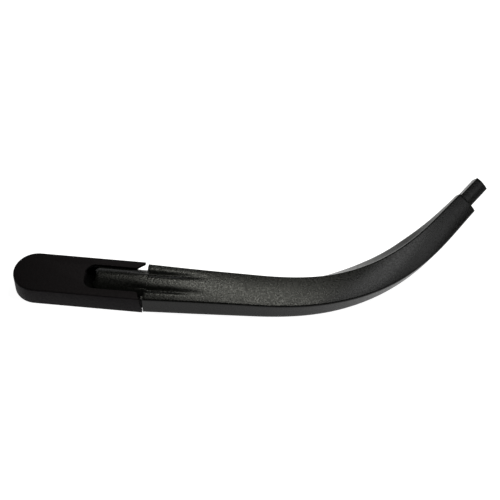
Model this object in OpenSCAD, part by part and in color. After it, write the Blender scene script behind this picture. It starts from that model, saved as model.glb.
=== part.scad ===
// Rear wiper arm: a flip-up cover over the mounting head, and a curved, twisted arm hinged to it.
// Frame: X from the head to the tip, Y to the far side, Z away from the glass, spindle axis at X = Y = 0.
// Z = 0 is the plane of the cover's rim. Sizes in millimetres, angles in degrees.

/* [Cover] */
// Width of the cover and of its round end
cover_w = 32; // [28:0.5:38]
// Height of the cover's roof over its rim
cover_h = 14.2; // [13.5:0.1:17]
// Thickness of the cover's walls and roof
cover_wall = 2; // [1.6:0.1:2.2]
// Rounding of the roof's outer edge
cover_edge = 1.2; // [0.8:0.1:1.6]
// Rounding of the roof's inner edge
cover_edge_in = 0.6; // [0.3:0.1:0.9]
// Where the round end of the notch lies
notch_x = 32.2; // [31:0.2:34]
// Corner radius of the notch's round end
notch_r = 7; // [5:0.5:8]
// Gap at each side between the notch and the tongue
notch_gap = 0.5; // [0.4:0.05:0.6]
// Thickness of the lip that closes the notch's round end
lip_t = 1.5; // [1:0.1:2]
// Depth of that lip under the roof
lip_h = 7; // [5:0.2:8]
// Where the far cheek's roof ends beside the notch
cheek_far_x = 65.8; // [64:0.2:67]
// Where the near cheek's roof ends beside the notch
cheek_near_x = 69; // [67:0.2:70]
// Where the cheeks end at the roof's outer edge
cheek_top_x = 71.2; // [70:0.1:71.5]
// Where the cheeks end at the rim
cheek_rim_x = 72.9; // [72:0.1:73.5]
// Wall round the hinge pin inside the cheeks
pivot_wall = 1.75; // [1.4:0.05:2]

/* [Hinge] */
// Hinge axis along the arm
hinge_x = 53; // [52:0.5:54]
// Hinge axis under the roof
hinge_drop = 6.8; // [6.6:0.1:7.2]
// Diameter of the hinge pin
pin_d = 4.5; // [4:0.1:5]
// Depth from the cover's side to each end of the hinge pin
pin_cap = 0.9; // [0.8:0.1:1.2]
// Wall of the two bushes
bush_wall = 1.25; // [1:0.05:1.4]
// Breadth of the bushes' flanges
flange_w = 1.1; // [0.8:0.1:1.3]
// Thickness of the bushes' flanges
flange_t = 0.3; // [0.2:0.05:0.4]
// Radial clearance of a running fit
run_fit = 0.04; // [0.02:0.01:0.08]
// Side clearance between pieces that move past each other
side_gap = 0.3; // [0.2:0.05:0.4]

/* [Mounting head] */
// Gap between the spindle boss and the cover's wall
boss_gap = 1.5; // [1:0.1:2.5]
// Height of the spindle boss over the rim
boss_h = 7.4; // [6.5:0.1:7.8]
// Height of the head's underside over the rim
head_lift = 0.4; // [0.3:0.1:0.8]
// Spindle bore of the insert
bore_d = 9.6; // [8:0.1:10.5]
// Wall of the steel insert
insert_wall = 2.7; // [2.2:0.1:3.5]
// Number of serration grooves in the bore
serrations = 12; // [6:1:14]
// Width of each groove
groove_w = 0.44; // [0.3:0.02:0.6]
// Depth of each groove
groove_deep = 0.35; // [0.2:0.05:0.5]
// Room between the fork arms and the cover's wall
cheek_room = 0.9; // [0.8:0.1:1.2]
// Wall of the fork's eyes round the hinge pin
eye_wall = 1.95; // [1.7:0.05:2.1]
// Thickness of the floor between the fork arms
floor_t = 1.4; // [1:0.1:1.5]
// Where the floor narrows
tray_x = 41.5; // [40:0.5:42]
// Gap between the narrow floor and the tongue's walls
floor_gap = 0.7; // [0.5:0.1:1]

/* [Arm] */
// Gap between the cheeks' lower ends and the arm's shoulders
shoulder_gap = 0.6; // [0.4:0.1:1]
// Reach of the near shoulder's web under the cheek's end
web_lead = 1.5; // [0.5:0.1:1.6]
// Length of the full-width arm along its curve
arm_len = 249.5; // [232:1:260]
// Arm width at the head, over the walls
arm_w_root = 30.8; // [29:0.2:31.4]
// Arm width half-way
arm_w_mid = 20.8; // [19:0.2:24]
// Arm width at the tip
arm_w_tip = 16; // [15:0.2:18]
// Wall height at the head
arm_h_root = 12.6; // [12:0.1:13.6]
// Wall height half-way
arm_h_mid = 12.4; // [10:0.1:13.5]
// Wall height at the tip
arm_h_tip = 6; // [5:0.1:8]
// Sheet thickness of the arm
arm_t = 1.8; // [1.5:0.1:2.1]
// Rounding along the arm's upper edges
arm_edge = 1.4; // [1:0.1:1.8]
// Drop of the arm's roof from its middle to its edges
crown_drop = 1; // [0.5:0.1:1.6]
// Draft of the outer wall
draft_out = 5.5; // [3:0.5:8]
// Largest draft of the inner wall
draft_in_max = 32; // [20:1:42]
// Length over which the ridge runs out into the arm's roof
ridge_len = 46; // [35:1:60]
// Distance of the two valleys from the ridge's middle
valley_at = 6.6; // [6:0.1:8.5]
// Breadth of each valley
valley_w = 2; // [1.6:0.1:2.6]
// Depth of each valley at the head
valley_deep = 1.6; // [1:0.1:3.2]
// Length along the arm before it starts to curve
bend_from = 65.5; // [55:0.5:80]
// Length along the arm where the curve ends
bend_to = 232; // [210:1:240]
// Turn of the arm in plan at the tip
bend = 57.4; // [45:0.5:65]
// Length along the arm before it starts to roll
roll_from = 20; // [10:1:40]
// Roll of the arm toward its outer side at the tip
roll = 32; // [15:1:36]
// Rise of the arm's roof along its straight part
rise_root = 1; // [0:0.2:2]
// Further rise of the roof along the curve
rise_tip = 2.6; // [1:0.2:5]

/* [Tongue] */
// Width of the tongue that fills the notch
tongue_w = 19; // [17:0.1:21]
// Gap between the notch's round end and the tongue
tongue_back = 8.6; // [8:0.2:10]
// Radius of the tongue's crown
crown_r = 14; // [12:0.5:20]
// Radius between the tongue's crown and its walls
crown_corner = 4.6; // [3.5:0.1:5]
// Depth of the tongue's top under the cover's roof
tongue_drop = 0.15; // [0.05:0.05:0.3]
// Height of the tongue's lower edge over the rim
tongue_low = 1.2; // [1:0.1:2]
// Corner radius of the tongue's left end in plan
tongue_end_r = 5.5; // [4:0.5:7]

/* [Tip] */
// Length of the narrow tip
tip_len = 21.5; // [18:0.5:26]
// Width of the narrow tip
tip_w = 10.4; // [9.5:0.1:11.5]
// Wall height of the narrow tip
tip_h = 6.6; // [6:0.1:7.5]
// Offset of the narrow tip toward the inner side
tip_shift = 1.6; // [1:0.1:2.4]
// Rounding along the tip's upper edges
tip_edge = 1; // [0.7:0.1:1.3]
// Depth of the tip's roof under the arm's roof
tip_step = 0.25; // [0.1:0.05:0.5]
// Distance of the blade pin from the tip's end
blade_back = 8.5; // [7:0.5:11]
// Diameter of the blade pin
blade_d = 3.2; // [2.8:0.1:3.6]
// Depth of the blade pin under the tip's roof
blade_drop = 4.3; // [4:0.1:4.6]
// Depth from the tip's sides to each end of the blade pin
blade_cap = 0.6; // [0.4:0.1:0.8]

/* [Spring] */
// Link pin under the hinge axis
link_drop = 4.9; // [4.8:0.1:5]
// Link pin behind the hinge axis
link_back = 1; // [0.6:0.1:1.4]
// Diameter of the link pin
link_d = 2.2; // [2:0.1:2.4]
// Wall of the hook link round its holes
hook_wall = 1; // [0.8:0.1:1.1]
// Thickness of the hook link
hook_t = 3; // [2.6:0.1:3.4]
// Distance between the hook link's holes
hook_len = 15; // [13:0.5:17]
// Width of the hook link's bow
hook_w = 1.8; // [1.5:0.1:2]
// Drop of the bow that clears the hinge pin
hook_bow = 1.2; // [1:0.1:1.3]
// Outer diameter of the tension spring
spring_d = 7; // [6.4:0.1:7.2]
// Wire diameter of the spring
wire_d = 1.3; // [1.1:0.1:1.4]
// Radius of the spring's eye in the hook link
eye_r = 3; // [2.8:0.1:3.3]
// Length of the straight wire behind each eye
tail = 6; // [5:0.5:8]
// Distance of the anchor rod from the arm's shoulders
anchor_s = 69; // [62:1:76]
// Anchor rod under the arm's roof
anchor_drop = 7; // [6.5:0.1:8]
// Diameter of the anchor rod
anchor_d = 3; // [2.6:0.1:3.4]
// Depth of the anchor rod's seats in the arm's walls
anchor_seat = 0.9; // [0.6:0.1:1.2]

/* [Hidden] */
over = 1;
fine = 48;
coarse = 16;
stations = 60;
top_n = 20;
cover_r = cover_w / 2;
roof_under = cover_h - cover_wall;
hinge_z = cover_h - hinge_drop;
notch_w = tongue_w + 2 * notch_gap;
tongue_x = notch_x + tongue_back;
tongue_in = tongue_w / 2 - arm_t;
fork_in = tongue_w / 2 + flange_t + side_gap;
fork_out = cover_r - cover_wall - cheek_room;
fork_eye = pin_d / 2 + eye_wall;
pivot_in = fork_out + side_gap;
pin_half = cover_r - pin_cap;
pin_hole = pin_half + side_gap / 2;
bush_d = pin_d + 2 * bush_wall;
insert_d = bore_d + 2 * insert_wall;
boss_d = cover_w - 2 * cover_wall - 2 * boss_gap;
arm_x = cheek_rim_x + shoulder_gap;
link_x = hinge_x - link_back;
link_z = hinge_z - link_drop;
link_r = link_d / 2 + run_fit + hook_wall;
floor_w = 2 * (tongue_in - floor_gap);
slot_w = hook_t + 2 * side_gap;

// Smooth rise from 0 to 1, and a value that runs from a over b to c
function ease(v) = let (c = min(1, max(0, v))) c * c * (3 - 2 * c);
function mix(a, b, u) = a + (b - a) * u;
function over_mid(a, b, c, u) = u < 0.5 ? mix(a, b, 2 * u) : mix(b, c, 2 * u - 1);

// Heading, roll, width, wall heights, inner draft and roof height at a length s along the arm
function turn(s) = bend * ease((s - bend_from) / (bend_to - bend_from));
function tilt(s) = roll * ease((s - roll_from) / (arm_len - roll_from));
function part(s) = min(1, s / arm_len);
function width(s) = over_mid(arm_w_root, arm_w_mid, arm_w_tip, part(s));
function wall_out(s) = over_mid(arm_h_root, arm_h_mid, arm_h_tip, part(s) < 0.5 ? part(s) : taper(part(s)));
function taper(u) = 1 - pow(2 - 2 * u, 1.15) / 2;
function wall_in(s) = mix(wall_out(s), arm_h_tip, 0.4 * ease((s - bend_from) / (arm_len - bend_from)));
function draft_in(s) = draft_in_max * ease(2 * part(s) - 0.3) * (1 - 0.85 * ease(4 * part(s) - 3));
function rise(s) = cover_h + rise_root * min(1, s / bend_from)
  + rise_tip * ease((s - bend_from) / (arm_len - bend_from));

// Points of the centre line out to the end of the narrow tip, and the point at a length s
path_end = arm_len + tip_len;
path_n = 270;
path_step = path_end / path_n;
path = [for (i = 0, p = [arm_x, 0]; i <= path_n;
             p = p + path_step * [cos(turn(i * path_step)), sin(turn(i * path_step))], i = i + 1) p];
function on_path(s) = let (f = min(path_n - 1, max(0, s / path_step)), i = floor(f)) mix(path[i], path[i + 1], f - i);

// A point of the arm's cross-section, c across toward the outer side and n up, placed at s
function place(s, c, n) =
  let (h = turn(s), r = tilt(s), p = on_path(s),
       across = c * cos(r) + n * sin(r), up = n * cos(r) - c * sin(r))
  [p[0] + across * sin(h), p[1] - across * cos(h), rise(s) + up];

// Drop of the roof at c for a half width a, with the two valleys beside the ridge
function sag(c, a, s) = crown_drop * pow(c / a, 2)
  + (1 - ease(s / ridge_len)) * valley_deep * exp(-pow((abs(c) - valley_at) / valley_w, 2));

// Outer skin at s for a half width a, as points [across, up]; t moves it inward for the inner skin
function skin(s, a, e, ho, hi, t) =
  let (w = a - t, d = sag(a - e, a, s) + t, mid = e * (1 - cos(30)), low = e * (1 - sin(30)),
       fi = (hi - e) * tan(draft_in(s)), fo = (ho - e) * tan(draft_out),
       top = [for (i = [0:top_n]) let (c = (2 * i / top_n - 1) * (w - e)) [c, -sag(c, a, s) - t]])
  concat(
    [[-w - fi, -hi], [-w, -e - d], [-w + mid, -low - d], [-w + low, -mid - d]],
    top,
    [[w - low, -mid - d], [w - mid, -low - d], [w, -e - d], [w + fo, -ho]]
  );
function reversed(v) = [for (i = [len(v) - 1:-1:0]) v[i]];
function ring(s, a, e, ho, hi) = concat(skin(s, a, e, ho, hi, 0), reversed(skin(s, a, e, ho, hi, arm_t)));

// A closed skin over rings of equal length, ends closed between its outer and inner halves
module sweep(rings) {
  n = len(rings);
  m = len(rings[0]);
  pts = [for (r = rings) each r];
  sides = [for (i = [0:n - 2]) for (j = [0:m - 1])
    let (a = i * m + j, b = i * m + (j + 1) % m, c = b + m, d = a + m) each [[a, c, b], [a, d, c]]];
  last = (n - 1) * m;
  starts = [for (k = [0:m / 2 - 2]) each [[k, k + 1, m - 2 - k], [k, m - 2 - k, m - 1 - k]]];
  ends = [for (f = starts) [last + f[0], last + f[2], last + f[1]]];
  polyhedron(points = pts, faces = concat(sides, starts, ends), convexity = 8);
}

// The curved, twisted channel at full width
module arm_body() {
  sweep([for (i = [0:stations])
    let (s = arm_len * i / stations, r = ring(s, width(s) / 2, arm_edge, wall_out(s), wall_in(s)))
    [for (q = r) place(s, q[0], q[1])]]);
}

// The narrow channel that runs on from the body
tip_root = 4;
module arm_tip() {
  steps = 6;
  sweep([for (i = [0:steps])
    let (s = mix(arm_len - tip_root, path_end, i / steps), r = ring(s, tip_w / 2, tip_edge, tip_h, tip_h))
    [for (q = r) place(min(s, path_end - 0.01), q[0] - tip_shift, q[1] - tip_step)]]);
}

module along_x(x0, x1) {
  translate([x0, 0, 0]) rotate([90, 0, 90]) linear_extrude(x1 - x0) children();
}
module across_y(y0, y1) {
  translate([0, y1, 0]) rotate([90, 0, 0]) linear_extrude(y1 - y0) children();
}
// A round bar across the arm at x, z, with its ends at y0 and y1
module cross_bar(x, z, d, y0, y1) {
  translate([x, y0, z]) rotate([-90, 0, 0]) cylinder(d = d, h = y1 - y0, $fn = fine);
}
// Plan of a slot or tongue with a round left end
module round_end(x, w, r, len) {
  for (k = [-1, 1]) translate([x + r, k * (w / 2 - r)]) circle(r = r, $fn = fine);
  translate([x + r, -w / 2]) square([len - r, w]);
  translate([x, r - w / 2]) square([r + over, w - 2 * r]);
}

// Section of the tongue across the arm: vertical walls, round corners and a crown, moved inward by t
module tongue_section(low, t) {
  top = cover_h - tongue_drop - t;
  half = tongue_w / 2 - t;
  corner = crown_corner - t;
  intersection() {
    union() {
      for (k = [-1, 1]) translate([k * (half - corner), top - corner]) circle(r = corner, $fn = fine);
      translate([-half, low]) square([2 * half, top - corner - low]);
      translate([corner - half, top - corner - over]) square([2 * half - 2 * corner, corner + over]);
    }
    translate([0, top - crown_r + t]) circle(r = crown_r - t, $fn = 2 * fine);
    translate([-half, low]) square([2 * half, top - low]);
  }
  translate([-half, low]) square([2 * half, top - 2 * corner - low]);
}

// Side view of the tongue: its wall ends clear the head's floor as the arm lifts
module tongue_side(end) {
  polygon([
    [tongue_x, cover_h - arm_t - 0.2], [hinge_x - 1.04 * bush_d, hinge_z],
    [hinge_x - 0.72 * bush_d, hinge_z - 0.65 * bush_d], [hinge_x - 0.4 * bush_d, tongue_low],
    [arm_x, tongue_low], [end, tongue_low + over], [end, cover_h + over],
    [tongue_x + arm_t, cover_h + over], [tongue_x + arm_t, cover_h - tongue_drop], [tongue_x, cover_h - over]
  ]);
}
module tongue() {
  end = arm_x + 3 * arm_t;
  intersection() {
    difference() {
      along_x(tongue_x, end) tongue_section(tongue_low, 0);
      along_x(tongue_x - over, end + over) tongue_section(tongue_low - over, arm_t);
    }
    across_y(-tongue_w, tongue_w) tongue_side(end);
    linear_extrude(cover_h + over) round_end(tongue_x, tongue_w, tongue_end_r, end - tongue_x + over);
  }
}

// Webs that close the shoulders between the tongue and the arm's walls
module shoulder_web() {
  web_out = arm_w_root / 2 - arm_t / 2;
  web_in = tongue_in + arm_t / 4;
  web_top = cover_h - 1.5 * arm_t;
  for (k = [-1, 1])
    translate([arm_x, k > 0 ? web_in : -web_out, tongue_low])
      cube([arm_t, web_out - web_in, web_top - tongue_low]);
  translate([arm_x - web_lead, -fork_out, tongue_low])
    cube([web_lead + over, fork_out - web_in, web_top - tongue_low]);
}

anchor_x = arm_x + anchor_s;
anchor_z = rise(anchor_s) - anchor_drop;
anchor_half = width(anchor_s) / 2 - arm_t + anchor_seat;
blade_s = path_end - blade_back;
blade_len = tip_w - 2 * blade_cap;

// Bar across the narrow tip, with its own Y across and Z up
module tip_bar() {
  translate(place(blade_s, -tip_shift, -blade_drop)) rotate([0, 0, turn(blade_s) - 90])
    rotate([0, tilt(blade_s), 0]) rotate([0, 90, 0])
      cylinder(d = blade_d, h = blade_len, center = true, $fn = fine);
}

module arm_shell() {
  color("#17181a") difference() {
    union() {
      arm_body();
      arm_tip();
      tongue();
      shoulder_web();
    }
    cross_bar(hinge_x, hinge_z, bush_d, -tongue_w, tongue_w);
    cross_bar(anchor_x, anchor_z, anchor_d, -anchor_half, anchor_half);
    tip_bar();
  }
}

// Section of a block with a rounded upper edge, for the cover's outside and inside
module cover_profile(w, h, r) {
  square([w, h - r]);
  square([w - r, h]);
  translate([w - r, h - r]) circle(r = r, $fn = fine);
}
module cover_block(w, h, r, x1) {
  rotate_extrude($fn = 2 * fine) intersection() {
    cover_profile(w, h, r);
    square([w, h]);
  }
  along_x(0, x1) {
    cover_profile(w, h, r);
    mirror([1, 0]) cover_profile(w, h, r);
  }
}

// The cheeks' roofs end on a slant in plan, and the near wall on a slant from the side
module cheek_ends() {
  beyond = cheek_rim_x + cover_w;
  lip_y = cover_r - 0.8 * cover_wall;
  translate([0, 0, -over]) linear_extrude(cover_h + 2 * over) polygon([
    [cheek_far_x, 0], [cheek_far_x, notch_w / 2], [cheek_top_x, lip_y], [beyond, lip_y],
    [beyond, -cover_w], [cheek_top_x, -cover_w], [cheek_top_x, -cover_r], [cheek_near_x, -notch_w / 2],
    [cheek_near_x, 0]
  ]);
}
module cheek_slant() {
  beyond = cheek_rim_x + cover_w;
  across_y(-cover_w, cover_w) polygon([
    [cheek_top_x, cover_h + over], [cheek_top_x, cover_h], [cheek_rim_x, 0], [cheek_rim_x, -over],
    [beyond, -over], [beyond, cover_h + over]
  ]);
}

module cover_cap() {
  lip_w = notch_w - cover_wall * 2;
  color("#131214") difference() {
    union() {
      difference() {
        cover_block(cover_r, cover_h, cover_edge, cheek_rim_x);
        translate([0, 0, -over])
          cover_block(cover_r - cover_wall, roof_under + over, cover_edge_in, cheek_rim_x + over);
      }
      for (k = [-1, 1])
        cross_bar(hinge_x, hinge_z, pin_d + 2 * pivot_wall, k > 0 ? pivot_in : -pin_hole, k > 0 ? pin_hole : -pivot_in);
      translate([notch_x - lip_t, -lip_w / 2, roof_under - lip_h]) cube([lip_t, lip_w, lip_h + cover_wall / 2]);
    }
    translate([0, 0, roof_under - 2 * over]) linear_extrude(cover_wall + 4 * over)
      round_end(notch_x, notch_w, notch_r, cheek_rim_x);
    intersection() {
      cheek_ends();
      translate([0, 0, roof_under - over]) linear_extrude(cover_wall + 2 * over)
        translate([0, -cover_w]) square([2 * cheek_rim_x, 2 * cover_w]);
    }
    cheek_slant();
    translate([cheek_far_x, 0, -over]) cube([cover_w, cover_w, roof_under + over]);
    cross_bar(hinge_x, hinge_z, pin_d + 2 * run_fit, -pin_hole, pin_hole);
  }
}

// Side view of a fork arm, from the spindle boss to the eye round the hinge pin
module fork_side() {
  polygon([
    [insert_d / 8, head_lift], [tray_x - 2 * floor_t, head_lift], [hinge_x, hinge_z - fork_eye],
    [hinge_x, hinge_z + fork_eye], [tray_x, boss_h], [insert_d / 8, boss_h]
  ]);
  translate([hinge_x, hinge_z]) circle(r = fork_eye, $fn = fine);
}

module mounting_head() {
  color("#26272a") difference() {
    union() {
      translate([0, 0, head_lift]) cylinder(d = boss_d, h = boss_h - head_lift, $fn = 2 * fine);
      for (k = [-1, 1])
        across_y(k > 0 ? fork_in : -fork_out, k > 0 ? fork_out : -fork_in) fork_side();
      translate([insert_d / 4, -fork_out, head_lift]) cube([tray_x - insert_d / 4, 2 * fork_out, floor_t]);
      translate([tray_x - over, -floor_w / 2, head_lift]) cube([link_x - tray_x + over, floor_w, floor_t]);
      cross_bar(link_x, link_z, 2 * (link_z - head_lift), -floor_w / 2, floor_w / 2);
    }
    translate([0, 0, -over]) cylinder(d = insert_d, h = cover_h, $fn = fine);
    translate([link_x - 2 * link_r, -slot_w / 2, -over]) cube([6 * link_r, slot_w, cover_h]);
    cross_bar(hinge_x, hinge_z, pin_d, -cover_w, cover_w);
    cross_bar(link_x, link_z, link_d, -cover_w, cover_w);
  }
}

module spindle_insert() {
  color("#b9bcc0") difference() {
    cylinder(d = insert_d, h = boss_h, $fn = fine);
    translate([0, 0, -over]) cylinder(d = bore_d, h = cover_h, $fn = fine);
    for (i = [0:serrations - 1])
      rotate([0, 0, i * 360 / serrations]) translate([0, -groove_w / 2, -over])
        cube([bore_d / 2 + groove_deep, groove_w, cover_h]);
  }
}

module hinge_pin() {
  color("#a9adb2") cross_bar(hinge_x, hinge_z, pin_d, -pin_half, pin_half);
}

// A flanged bush in the tongue's near (k = -1) or far (k = 1) wall
module bush(k) {
  wall = tongue_w / 2;
  inner = tongue_in - side_gap;
  color("#d9d4c4") difference() {
    union() {
      cross_bar(hinge_x, hinge_z, bush_d, k > 0 ? inner : -wall, k > 0 ? wall : -inner);
      cross_bar(hinge_x, hinge_z, bush_d + 2 * flange_w, k > 0 ? wall : -wall - flange_t, k > 0 ? wall + flange_t : -wall);
    }
    cross_bar(hinge_x, hinge_z, pin_d + 2 * run_fit, -cover_w, cover_w);
  }
}
module bush_near() {
  bush(-1);
}
module bush_far() {
  bush(1);
}

module link_pin() {
  color("#a9adb2") cross_bar(link_x, link_z, link_d, -floor_w / 2, floor_w / 2);
}

module anchor_rod() {
  color("#a9adb2") cross_bar(anchor_x, anchor_z, anchor_d, -anchor_half, anchor_half);
}

module blade_pin() {
  color("#a9adb2") tip_bar();
}

// The hook link and the spring lie on the line from the link pin to the anchor rod
pull_len = norm([anchor_x - link_x, anchor_z - link_z]);
pull_slope = atan2(anchor_z - link_z, anchor_x - link_x);
module on_pull_line() {
  translate([link_x, 0, link_z]) rotate([0, -pull_slope, 0]) children();
}

// A plate that bows under the hinge pin, with a hole for the link pin and one for the spring's eye
eye_hole = wire_d + 1;
hook_end_r = eye_hole / 2 + hook_wall + side_gap;
module hook_link() {
  half = hook_w / 2;
  bow_from = link_r - hook_wall / 2;
  bow_to = hook_len - hook_end_r + hook_wall / 2;
  color("#6d7176") on_pull_line() difference() {
    union() {
      cross_bar(0, 0, 2 * link_r, -hook_t / 2, hook_t / 2);
      cross_bar(hook_len, 0, 2 * hook_end_r, -hook_t / 2, hook_t / 2);
      across_y(-hook_t / 2, hook_t / 2) polygon([
        [bow_from, half], [hook_len / 4, half - hook_bow], [hook_len / 2, half - hook_bow],
        [bow_to, half], [bow_to, -half], [hook_len * 0.55, -half - hook_bow],
        [hook_len / 5, -half - hook_bow], [bow_from, -half]
      ]);
    }
    cross_bar(0, 0, link_d + 2 * run_fit, -hook_t, hook_t);
    cross_bar(hook_len, 0, eye_hole, -hook_t, hook_t);
  }
}

// The spring: an eye through the hook link, close coils, and an eye round the anchor rod
anchor_gap = 0.15;
coil_from = hook_len + 2 * eye_r + 0.8 * tail;
coil_to = pull_len - anchor_d / 2 - wire_d - 2.5 * tail;
module wire_run(x0, x1) {
  translate([x0, 0, 0]) rotate([0, 90, 0]) cylinder(d = 0.95 * wire_d, h = x1 - x0, $fn = coarse);
}
module eye(x, r) {
  translate([x, 0, 0]) rotate_extrude($fn = fine) translate([r, 0]) circle(d = wire_d, $fn = coarse);
}
module coils(n, pitch) {
  r = spring_d / 2;
  translate([coil_from, 0, 0]) rotate([0, 90, 0]) rotate_extrude($fn = fine / 2) polygon(concat(
    [[r - wire_d, 0]],
    [for (i = [0:n - 1]) each [[r - wire_d / 4, i * pitch], [r, (i + 0.5) * pitch]]],
    [[r - wire_d / 4, n * pitch], [r - wire_d, n * pitch]]
  ));
  for (x = [coil_from + pitch / 2, coil_to - pitch / 2])
    translate([x, 0, 0]) cylinder(d = 0.85 * wire_d, h = r - wire_d / 2, $fn = coarse);
}
module tension_spring() {
  turns = round((coil_to - coil_from) / wire_d);
  far_r = anchor_d / 2 + anchor_gap + wire_d / 2;
  near_x = hook_len - anchor_gap + eye_r;
  color("#6f7377") on_pull_line() {
    coils(turns, (coil_to - coil_from) / turns);
    eye(near_x, eye_r);
    wire_run(near_x + eye_r - wire_d / 4, coil_from + wire_d);
    translate([pull_len, 0, 0]) rotate([90, 0, 0]) eye(0, far_r);
    wire_run(coil_to - wire_d, pull_len - far_r + wire_d / 4);
  }
}

cover_cap();
mounting_head();
spindle_insert();
hinge_pin();
bush_near();
bush_far();
link_pin();
hook_link();
arm_shell();
tension_spring();
anchor_rod();
blade_pin();
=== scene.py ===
import math

import bmesh
import bpy
from mathutils import Matrix, Vector


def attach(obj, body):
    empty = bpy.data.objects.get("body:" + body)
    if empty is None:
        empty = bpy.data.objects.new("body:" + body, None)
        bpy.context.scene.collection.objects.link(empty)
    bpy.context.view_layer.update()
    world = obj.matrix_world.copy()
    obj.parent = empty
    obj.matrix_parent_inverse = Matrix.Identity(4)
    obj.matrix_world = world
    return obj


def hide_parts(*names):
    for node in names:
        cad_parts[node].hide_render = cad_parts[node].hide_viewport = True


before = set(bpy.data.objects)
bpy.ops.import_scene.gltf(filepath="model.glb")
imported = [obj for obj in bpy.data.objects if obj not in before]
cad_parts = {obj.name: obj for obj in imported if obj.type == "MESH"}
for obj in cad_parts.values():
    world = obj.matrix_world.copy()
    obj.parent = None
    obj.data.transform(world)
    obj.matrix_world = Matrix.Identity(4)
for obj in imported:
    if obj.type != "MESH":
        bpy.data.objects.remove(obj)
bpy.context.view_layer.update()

# Rear wiper arm: the pressed arm, the moulded cover and the wound spring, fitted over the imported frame.
# Lengths in this part are in millimetres, as in the part's source, and MM turns them into metres.
MM = 0.001

# Cover, and the axes of the hinge and the link pin
COVER_H, COVER_WALL = 14.2, 2.0
HINGE_X, HINGE_Z, BUSH_D = 53.0, 7.4, 7.0
LINK_X, LINK_Z = 52.0, 2.5

# The arm's line: where it starts, how it bends to the side, rolls about itself and rises
ARM_X, ARM_LEN = 73.5, 249.5
BEND, BEND_FROM, BEND_TO = 57.4, 65.5, 232
ROLL, ROLL_FROM = 32, 20
RISE_ROOT, RISE_TIP = 1.0, 2.6

# The arm's section: widths and outer wall heights at root, middle and tip, then drafts, crown and ridge
WIDTHS = (30.8, 20.8, 16.0)
WALLS = (12.6, 12.4, 6.0)
WALL_TAPER = 1.15
DRAFT_OUT, DRAFT_IN = 5.5, 32
CROWN_DROP = 1.0
RIDGE_LEN, VALLEY_AT, VALLEY_W, VALLEY_DEEP = 46, 6.6, 2, 1.6
ARM_T, ARM_EDGE = 1.8, 1.4

# The tongue: its end, its lower edge, its crown, and how it runs into the ridge
TONGUE_X, TONGUE_HALF, TONGUE_LOW, TONGUE_END_R = 40.8, 9.5, 1.2, 5.5
CROWN_R, CROWN_CORNER, TONGUE_DROP = 14.0, 4.6, 0.15
LIP_DROP, LIP_LEN = 0.25, 1.2
RIDGE_HALF, RIDGE_OVER, RUN_IN_FROM, RUN_IN_LEN = 7.0, 0.015, 58, 15
TONGUE_END, TONGUE_STEPS_POWER = ARM_X + 1.2, 1.6

# The tip
TIP_LEN, TIP_W, TIP_H, TIP_SHIFT, TIP_STEP, TIP_EDGE = 21.5, 10.4, 6.6, 1.6, 0.25, 1.0
TIP_IN, TIP_END_GAP = 4.0, 0.02

# The spring
ANCHOR_X, ANCHOR_Z, ANCHOR_R = 142.5, 8.203, 1.5
HOOK_LEN, EYE_R, SPRING_R, WIRE_D, TAIL = 15.0, 3.0, 3.5, 1.3, 6.0
WIRE_R, EYE_SEAT, EYE_DRIFT = 0.48 * WIRE_D, 0.15, 0.3


# The arm's line and section, at a length s along its curve
def ease(v):
    c = min(1.0, max(0.0, v))
    return c * c * (3 - 2 * c)


def mix(a, b, u):
    return a + (b - a) * u


def over_mid(a, b, c, u):
    return mix(a, b, 2 * u) if u < 0.5 else mix(b, c, 2 * u - 1)


def part(s):
    return min(1.0, s / ARM_LEN)


def turn(s):
    return math.radians(BEND * ease((s - BEND_FROM) / (BEND_TO - BEND_FROM)))


def tilt(s):
    return math.radians(ROLL * ease((s - ROLL_FROM) / (ARM_LEN - ROLL_FROM)))


def bend_share(s):
    return ease((s - BEND_FROM) / (ARM_LEN - BEND_FROM))


def half_width(s):
    return over_mid(*WIDTHS, part(s)) / 2


def wall_out(s):
    u = part(s)
    return over_mid(*WALLS, u if u < 0.5 else 1 - (2 - 2 * u) ** WALL_TAPER / 2)


def wall_in(s):
    return mix(wall_out(s), WALLS[2], 0.4 * bend_share(s))


def draft_in(s):
    return math.radians(DRAFT_IN * ease(2 * part(s) - 0.3) * (1 - 0.85 * ease(4 * part(s) - 3)))


def rise(s):
    return COVER_H + RISE_ROOT * min(1.0, s / BEND_FROM) + RISE_TIP * bend_share(s)


def centre_line():
    n = 270
    step = (ARM_LEN + TIP_LEN) / n
    points = [Vector((ARM_X, 0.0))]
    for i in range(n):
        a = turn(i * step)
        points.append(points[-1] + step * Vector((math.cos(a), math.sin(a))))
    return points, step


LINE, LINE_STEP = centre_line()


def place(s, across, up):
    """A point of the section, across toward the outer side and up from the roof, in metres."""
    f = min(len(LINE) - 2, max(0.0, s / LINE_STEP))
    i = int(f)
    p = LINE[i].lerp(LINE[i + 1], f - i)
    h, r = turn(s), tilt(s)
    out = across * math.cos(r) + up * math.sin(r)
    return Vector((p.x + out * math.sin(h), p.y - out * math.cos(h),
                   rise(s) + up * math.cos(r) - across * math.sin(r))) * MM


def sag(c, half, s):
    """How far the roof lies under its middle at c: the crown, and the valleys beside the ridge."""
    valley = (1 - ease(s / RIDGE_LEN)) * VALLEY_DEEP * math.exp(-((abs(c) - VALLEY_AT) / VALLEY_W) ** 2)
    return CROWN_DROP * (c / half) ** 2 + valley


# Mesh work shared by the pieces
def pressed_sheet(bm, along, across, shape):
    """A flat grid pressed to shape, which gives a place for two shares from 0 to 1, along and across."""
    verts = bmesh.ops.create_grid(bm, x_segments=along, y_segments=across, size=0.5)["verts"]
    for v in verts:
        v.co = shape(v.co.x + 0.5, v.co.y + 0.5)


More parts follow.
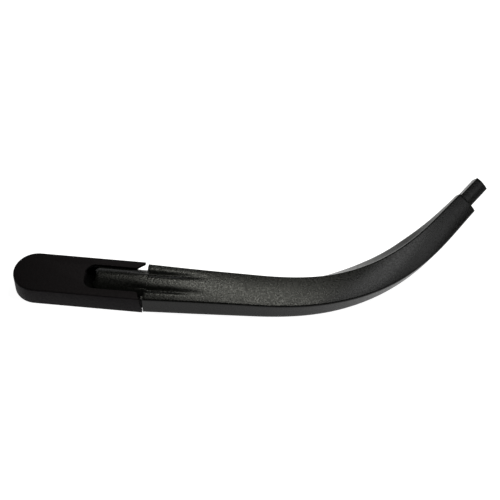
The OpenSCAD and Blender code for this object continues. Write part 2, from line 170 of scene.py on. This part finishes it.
def add_box(bm, centre, size):
    made = bmesh.ops.create_cube(bm, size=1)["verts"]
    bmesh.ops.scale(bm, vec=Vector(size) * MM, verts=made)
    bmesh.ops.translate(bm, vec=Vector(centre) * MM, verts=made)


def merged_copy(node):
    """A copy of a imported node's mesh with its corners joined and its flat faces made whole."""
    bm = bmesh.new()
    bm.from_mesh(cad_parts[node].data)
    bmesh.ops.remove_doubles(bm, verts=bm.verts, dist=0.002 * MM)
    bmesh.ops.dissolve_limit(bm, angle_limit=math.radians(0.3), verts=bm.verts, edges=bm.edges)
    bmesh.ops.recalc_face_normals(bm, faces=bm.faces)
    return bm


def soften(bm, degrees, width, keep=lambda place: False):
    """Round the edges that turn by more than an angle, but for those at a place that keep tells."""
    edges = [e for e in bm.edges if e.is_manifold and e.calc_face_angle(0) > math.radians(degrees)
             and not keep((e.verts[0].co + e.verts[1].co) / 2 / MM)]
    bmesh.ops.bevel(bm, geom=edges, offset=width * MM, offset_type="OFFSET", affect="EDGES",
                    segments=2, profile=0.5, clamp_overlap=True, material=-1)


def add_object(name, data):
    obj = bpy.data.objects.new(name, data)
    bpy.context.scene.collection.objects.link(obj)
    return obj


def finish(name, bm, angle=40):
    """A smooth-shaded object at the origin, sharp where faces turn by more than the angle."""
    bmesh.ops.recalc_face_normals(bm, faces=bm.faces)
    mesh = bpy.data.meshes.new(name)
    bm.to_mesh(mesh)
    bm.free()
    mesh.shade_smooth()
    mesh.set_sharp_from_angle(angle=math.radians(angle))
    return add_object(name, mesh)


# The pressed arm: flat sheets pressed along the curve, then given their thickness.
# Each wall and each corner takes a twelfth of the sheet's width, and the roof takes the rest.
WALL_SHARE, CORNER_SHARE = 1 / 12, 1 / 12


def channel_point(s, t, half, edge, out, inn, shift=0.0, drop=0.0):
    """The outer skin at s: t runs from the inner wall's rim over the roof to the outer wall's rim."""
    d = sag(half - edge, half, s)
    side, t = (-1, t) if t < 0.5 else (1, 1 - t)
    depth, draft = (inn, draft_in(s)) if side < 0 else (out, math.radians(DRAFT_OUT))
    if t < WALL_SHARE:
        fall = (depth - edge - d) * (1 - t / WALL_SHARE)
        c, n = half + fall * math.tan(draft), -edge - d - fall
    elif t < WALL_SHARE + CORNER_SHARE:
        a = math.pi / 2 * (t - WALL_SHARE) / CORNER_SHARE
        c, n = half - edge + edge * math.cos(a), -edge - d + edge * math.sin(a)
    else:
        c = (half - edge) * (0.5 - t) / (0.5 - WALL_SHARE - CORNER_SHARE)
        n = -sag(c, half, s)
    return place(s, side * c - shift, n - drop)


def body_shape(u, t):
    s = ARM_LEN * u
    return channel_point(s, t, half_width(s), ARM_EDGE, wall_out(s), wall_in(s))


def tip_shape(u, t):
    s = mix(ARM_LEN - TIP_IN, ARM_LEN + TIP_LEN - TIP_END_GAP, u)
    return channel_point(s, t, TIP_W / 2, TIP_EDGE, TIP_H, TIP_H, TIP_SHIFT, TIP_STEP)


def tongue_low_edge(x):
    """The lower edge of the tongue's walls, which leave room for the bush and fall to the floor behind it."""
    side = [(TONGUE_X, COVER_H - COVER_WALL), (HINGE_X - 1.04 * BUSH_D, HINGE_Z),
            (HINGE_X - 0.72 * BUSH_D, HINGE_Z - 0.65 * BUSH_D), (HINGE_X - 0.4 * BUSH_D, TONGUE_LOW)]
    for (x0, z0), (x1, z1) in zip(side, side[1:]):
        if x <= x1:
            return mix(z0, z1, (x - x0) / (x1 - x0))
    return TONGUE_LOW


def tongue_fall(c, x):
    """How far the skin lies under the tongue's top: crown and round corner, run into the arm's ridge."""
    c = abs(c)
    crown = CROWN_R - math.sqrt(CROWN_R ** 2 - c ** 2)
    past_flat = max(0.0, c - TONGUE_HALF + CROWN_CORNER)
    corner = CROWN_CORNER - math.sqrt(max(0.0, CROWN_CORNER ** 2 - past_flat ** 2))
    low = max(crown, corner)
    half = WIDTHS[0] / 2
    ridge = sag(c, half, 0) if c < RIDGE_HALF else max(sag(RIDGE_HALF, half, 0), low)
    return mix(low + TONGUE_DROP, ridge - RIDGE_OVER, ease((x - RUN_IN_FROM) / RUN_IN_LEN))


def tongue_shape(u, t):
    """The tongue's skin: u from its round end to the shoulders, t from the far wall to the near one."""
    x = mix(TONGUE_X, TONGUE_END, u ** TONGUE_STEPS_POWER)
    pinch = TONGUE_END_R - math.sqrt(TONGUE_END_R ** 2 - max(0.0, TONGUE_END_R - x + TONGUE_X) ** 2)
    wall = TONGUE_HALF - pinch
    top = COVER_H - LIP_DROP * max(0.0, 1 - (x - TONGUE_X) / LIP_LEN) ** 2
    side, t = (-1, t) if t < 0.5 else (1, 1 - t)
    if t < WALL_SHARE:
        shoulder = top - tongue_fall(wall, x)
        foot = min(tongue_low_edge(x), shoulder - 0.2)
        return Vector((x, -side * wall, mix(foot, shoulder, t / WALL_SHARE))) * MM
    share = math.cos(math.pi / 2 * (t - WALL_SHARE) / (0.5 - WALL_SHARE))
    return Vector((x, -side * wall * share, top - tongue_fall(wall * share, x))) * MM


def make_arm():
    """Body, tip and tongue as one skin of the sheet's thickness, and the webs that close the shoulders."""
    bm = bmesh.new()
    pressed_sheet(bm, 150, 72, body_shape)
    pressed_sheet(bm, 10, 48, tip_shape)
    pressed_sheet(bm, 60, 60, tongue_shape)
    bmesh.ops.recalc_face_normals(bm, faces=bm.faces)
    bmesh.ops.solidify(bm, geom=bm.faces[:], thickness=ARM_T * MM)
    soften(bm, 55, 0.25, keep=lambda p: abs(p.x - ARM_X) < 4 and abs(p.y) < TONGUE_HALF)
    web_z, web_h = 6.35, 10.3
    add_box(bm, (ARM_X + 0.9, -11.5, web_z), (1.8, 6, web_h))
    add_box(bm, (ARM_X + 0.9, 11.5, web_z), (1.8, 6, web_h))
    add_box(bm, (ARM_X - 0.65, -10.6, web_z), (1.7, 5, web_h))
    return finish("arm_body", bm)


# The moulded cover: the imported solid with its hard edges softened
def make_cover():
    bm = merged_copy("cover_cap")
    soften(bm, 35, 0.15)
    return finish("cover_body", bm, 35)


# The wound spring, in a frame of its own along the line of pull from the link pin to the anchor rod.
# Near eye and coil swing with the hook, and the far eye's tail slides in the coil as it stretches.
PULL_LENGTH = math.hypot(ANCHOR_X - LINK_X, ANCHOR_Z - LINK_Z)
PULL_SLOPE = math.atan2(ANCHOR_Z - LINK_Z, ANCHOR_X - LINK_X)
COIL_START = HOOK_LEN + 2 * EYE_R + 0.8 * TAIL
COIL_END = PULL_LENGTH - ANCHOR_R - WIRE_D - 2.5 * TAIL


def turn_points(n, centre, r, a0, a1, up):
    """Points of an eye about a centre on the pull line, flat or upright, drifting a little sideways."""
    points = []
    for i in range(n + 1):
        a = math.radians(mix(a0, a1, i / n))
        side, drift = r * math.sin(a), EYE_DRIFT * i / n
        along = centre + r * math.cos(a)
        points.append((along, drift, side) if up else (along, side, drift))
    return points


def near_eye_and_coil():
    eye_at = HOOK_LEN - EYE_SEAT + EYE_R
    points = turn_points(26, eye_at, EYE_R, -325, 0, up=False)
    points += [(eye_at + EYE_R + 1.2, 0, 0), (COIL_START - 1, 0, 0)]
    per_turn = 20
    steps = per_turn * round((COIL_END - COIL_START) / WIRE_D)
    for i in range(steps + 1):
        a = 2 * math.pi / per_turn * i
        r = (SPRING_R - WIRE_D / 2) * min(1.0, 0.1 + min(i, steps - i) / per_turn)
        points.append((mix(COIL_START, COIL_END, i / steps), r * math.sin(a), r * math.cos(a)))
    return points


def far_eye():
    r = ANCHOR_R + EYE_SEAT + WIRE_D / 2
    return [(COIL_END - 5, 0, 0), (COIL_END + 1, 0, 0)] + turn_points(26, PULL_LENGTH, r, 180, 505, up=True)


def make_wire(name, points):
    """A round wire along points of the pull line's own frame."""
    turned = Matrix.Translation(Vector((LINK_X, 0, LINK_Z)) * MM) @ Matrix.Rotation(-PULL_SLOPE, 4, "Y")
    curve = bpy.data.curves.new(name, "CURVE")
    curve.dimensions = "3D"
    curve.bevel_depth = WIRE_R * MM
    curve.bevel_resolution = 2
    curve.use_fill_caps = True
    spline = curve.splines.new("POLY")
    spline.points.add(len(points) - 1)
    for point, p in zip(spline.points, points):
        point.co = (*(turned @ (Vector(p) * MM)), 1)
    wire = add_object(name, curve)
    mesh = bpy.data.meshes.new_from_object(wire.evaluated_get(bpy.context.evaluated_depsgraph_get()))
    bpy.data.objects.remove(wire)
    mesh.shade_smooth()
    return add_object(name, mesh)


# Finishes
def grain_group():
    """Fine grain and broad mottle, in each piece's own space."""
    g = bpy.data.node_groups.new("surface_grain", "ShaderNodeTree")
    n, l = g.nodes, g.links
    made = [("Grain", 900.0, 3), ("Mottle", 40.0, 4)]
    for name, scale, detail in made:
        size = g.interface.new_socket(name + " Scale", in_out="INPUT", socket_type="NodeSocketFloat")
        size.default_value = scale
        g.interface.new_socket(name, in_out="OUTPUT", socket_type="NodeSocketFloat")
    gi, go = n.new("NodeGroupInput"), n.new("NodeGroupOutput")
    co = n.new("ShaderNodeTexCoord")
    for name, scale, detail in made:
        noise = n.new("ShaderNodeTexNoise")
        noise.inputs["Detail"].default_value = detail
        l.new(co.outputs["Object"], noise.inputs["Vector"])
        l.new(gi.outputs[name + " Scale"], noise.inputs["Scale"])
        l.new(noise.outputs["Fac"], go.inputs[name])
        if name == "Grain":
            noise.inputs["Roughness"].default_value = 0.6
    return g


GRAIN = grain_group()


def finish_material(name, dark, light, rough, grain, depth, metallic=0.0, spec=0.5, speckle=0.05,
                    tint=(1, 1, 1)):
    """Mottled between two colours. The grain stands up by depth and varies the roughness by speckle."""
    mat = bpy.data.materials.new(name)
    mat.use_nodes = True
    n, l = mat.node_tree.nodes, mat.node_tree.links
    bsdf = n["Principled BSDF"]
    g = n.new("ShaderNodeGroup")
    g.node_tree = GRAIN
    g.inputs["Grain Scale"].default_value = grain
    tone = n.new("ShaderNodeMix")
    tone.data_type = "RGBA"
    tone.inputs[6].default_value = (*dark, 1)
    tone.inputs[7].default_value = (*light, 1)
    sheen = n.new("ShaderNodeMapRange")
    for key, value in (("From Min", 0.35), ("From Max", 0.65),
                       ("To Min", rough - speckle), ("To Max", rough + speckle)):
        sheen.inputs[key].default_value = value
    bump = n.new("ShaderNodeBump")
    bump.inputs["Strength"].default_value = depth
    bump.inputs["Distance"].default_value = 0.0004
    l.new(g.outputs["Mottle"], tone.inputs[0])
    l.new(tone.outputs[2], bsdf.inputs["Base Color"])
    l.new(g.outputs["Grain"], sheen.inputs["Value"])
    l.new(sheen.outputs["Result"], bsdf.inputs["Roughness"])
    l.new(g.outputs["Grain"], bump.inputs["Height"])
    l.new(bump.outputs["Normal"], bsdf.inputs["Normal"])
    bsdf.inputs["Metallic"].default_value = metallic
    bsdf.inputs["Specular IOR Level"].default_value = spec
    bsdf.inputs["Specular Tint"].default_value = (*tint, 1)
    return mat


FINISHES = {
    "arm": finish_material(
        "arm_paint", (0.0018, 0.0020, 0.0017), (0.0034, 0.0036, 0.0032), 0.30, 820, 0.20, spec=0.19,
        speckle=0.08),
    "cover": finish_material(
        "cover_plastic", (0.0018, 0.0014, 0.0015), (0.0028, 0.0022, 0.0024), 0.70, 900, 0.6, spec=0.12,
        tint=(1.0, 0.91, 0.98)),
    "casting": finish_material(
        "head_paint", (0.0014, 0.0014, 0.0014), (0.0024, 0.0024, 0.0024), 0.70, 700, 0.5, spec=0.08),
    "steel": finish_material(
        "zinc_steel", (0.30, 0.31, 0.32), (0.42, 0.43, 0.44), 0.35, 1600, 0.15, metallic=1.0),
    "spring": finish_material(
        "oiled_wire", (0.06, 0.06, 0.062), (0.11, 0.11, 0.112), 0.35, 1200, 0.2, metallic=1.0),
    "bush": finish_material(
        "bush_plastic", (0.012, 0.012, 0.012), (0.02, 0.02, 0.02), 0.5, 1500, 0.1),
}
SHOWN_AS_PACKED = {
    "casting": ["mounting_head"],
    "steel": ["spindle_insert", "hinge_pin", "link_pin", "anchor_rod", "blade_pin"],
    "spring": ["hook_link"],
    "bush": ["bush_near", "bush_far"],
}


def dress(obj, key, body, *nodes):
    """Give a piece its finish, the body that it rides on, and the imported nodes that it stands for."""
    obj.data.materials.clear()
    obj.data.materials.append(FINISHES[key])
    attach(obj, body)
    if nodes:
        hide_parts(*nodes)


dress(make_arm(), "arm", "arm", "arm_shell")
dress(make_cover(), "cover", "cover", "cover_cap")
dress(make_wire("spring_coil", near_eye_and_coil()), "spring", "hook", "tension_spring")
dress(make_wire("spring_far_eye", far_eye()), "spring", "arm")

for key, nodes in SHOWN_AS_PACKED.items():
    for node in nodes:
        for material_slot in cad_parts[node].material_slots:
            material_slot.material = FINISHES[key]


# Floor, light and camera, in metres
def make_floor():
    """White paper, flat and turned up all round, that keeps the shadow."""
    bm = bmesh.new()
    flat_r, curl_r = 1.7, 0.5
    middle, edge = bm.verts.new((0, 0, 0)), bm.verts.new((flat_r, 0, 0))
    bm.edges.new((middle, edge))
    bmesh.ops.spin(bm, geom=[edge], cent=(flat_r, 0, curl_r), axis=(0, 1, 0),
                   angle=-math.radians(88), steps=16)
    half = bm.verts[:] + bm.edges[:]
    bmesh.ops.spin(bm, geom=half, cent=(0, 0, 0), axis=(0, 0, 1), angle=2 * math.pi, steps=96, use_merge=True)
    bmesh.ops.remove_doubles(bm, verts=bm.verts, dist=0.0001)
    floor = finish("floor", bm, 60)
    floor.data.materials.append(paper_material())


def paper_material():
    """Paper that takes a shadow, with a glow that keeps it white to the camera and in reflections."""
    mat = bpy.data.materials.new("white_paper")
    mat.use_nodes = True
    n, l = mat.node_tree.nodes, mat.node_tree.links
    n.clear()
    paper = n.new("ShaderNodeBsdfDiffuse")
    paper.inputs["Color"].default_value = (0.40, 0.40, 0.40, 1)
    path = n.new("ShaderNodeLightPath")
    reflected, seen, level = (n.new("ShaderNodeMath") for i in range(3))
    reflected.operation = seen.operation = "MAXIMUM"
    level.operation = "MULTIPLY"
    level.inputs[1].default_value = 0.98
    glow, both, out = (n.new("ShaderNode" + kind) for kind in ("Emission", "AddShader", "OutputMaterial"))
    l.new(path.outputs["Is Glossy Ray"], reflected.inputs[0])
    l.new(path.outputs["Is Transmission Ray"], reflected.inputs[1])
    l.new(path.outputs["Is Camera Ray"], seen.inputs[0])
    l.new(reflected.outputs[0], seen.inputs[1])
    l.new(seen.outputs[0], level.inputs[0])
    l.new(level.outputs[0], glow.inputs["Strength"])
    l.new(paper.outputs[0], both.inputs[0])
    l.new(glow.outputs[0], both.inputs[1])
    l.new(both.outputs[0], out.inputs["Surface"])
    return mat


def make_world():
    world = bpy.data.worlds.new("studio")
    bpy.context.scene.world = world
    world.use_nodes = True
    world.node_tree.nodes["Background"].inputs["Strength"].default_value = 0.05


def softbox(name, loc, target, along, size, size_y, power, color=(1, 1, 1)):
    """An area light at loc that faces target, with its first size along a direction."""
    light = bpy.data.lights.new(name, "AREA")
    light.shape = "RECTANGLE"
    light.size = size
    light.size_y = size_y
    light.energy = power
    light.color = color
    back = (Vector(loc) - Vector(target)).normalized()
    side = (Vector(along) - back * back.dot(Vector(along))).normalized()
    obj = add_object(name, light)
    obj.location = loc
    obj.rotation_euler = Matrix((side, back.cross(side), back)).transposed().to_euler()


def make_camera():
    """The photo's view: above and a little to the right of the arm, through a long lens."""
    elevation, azimuth, distance = math.radians(51.32), math.radians(6.23), 1.001
    aim = Vector((0.1394, 0.0385, 0.008))
    view = Vector((math.sin(azimuth) * math.cos(elevation), -math.cos(azimuth) * math.cos(elevation),
                   math.sin(elevation)))
    data = bpy.data.cameras.new("camera")
    data.sensor_width = 36
    data.lens = 36 * 1466 / 500
    camera = add_object("camera", data)
    camera.location = aim + view * distance
    camera.rotation_euler = (-view).to_track_quat("-Z", "Y").to_euler()
    bpy.context.scene.camera = camera


make_floor()
make_world()
# The key and the right box light the arm's far half, and the narrow strip draws the highlight on the ridge
softbox("key", (0.48, 0.08, 0.62), (0.20, 0.04, 0), (0, 1, 0), 0.40, 0.26, 1.6)
softbox("right", (0.70, 0.10, 0.42), (0.22, 0.06, 0), (0, 1, 0), 0.34, 0.26, 0.6)
softbox("strip", (0.132, 0.096, 0.30), (0.132, 0.0, 0), (0.52, -0.85, 0), 0.36, 0.02, 0.66, (1.0, 1.0, 0.90))
make_camera()
bpy.context.scene.view_settings.view_transform = "Standard"
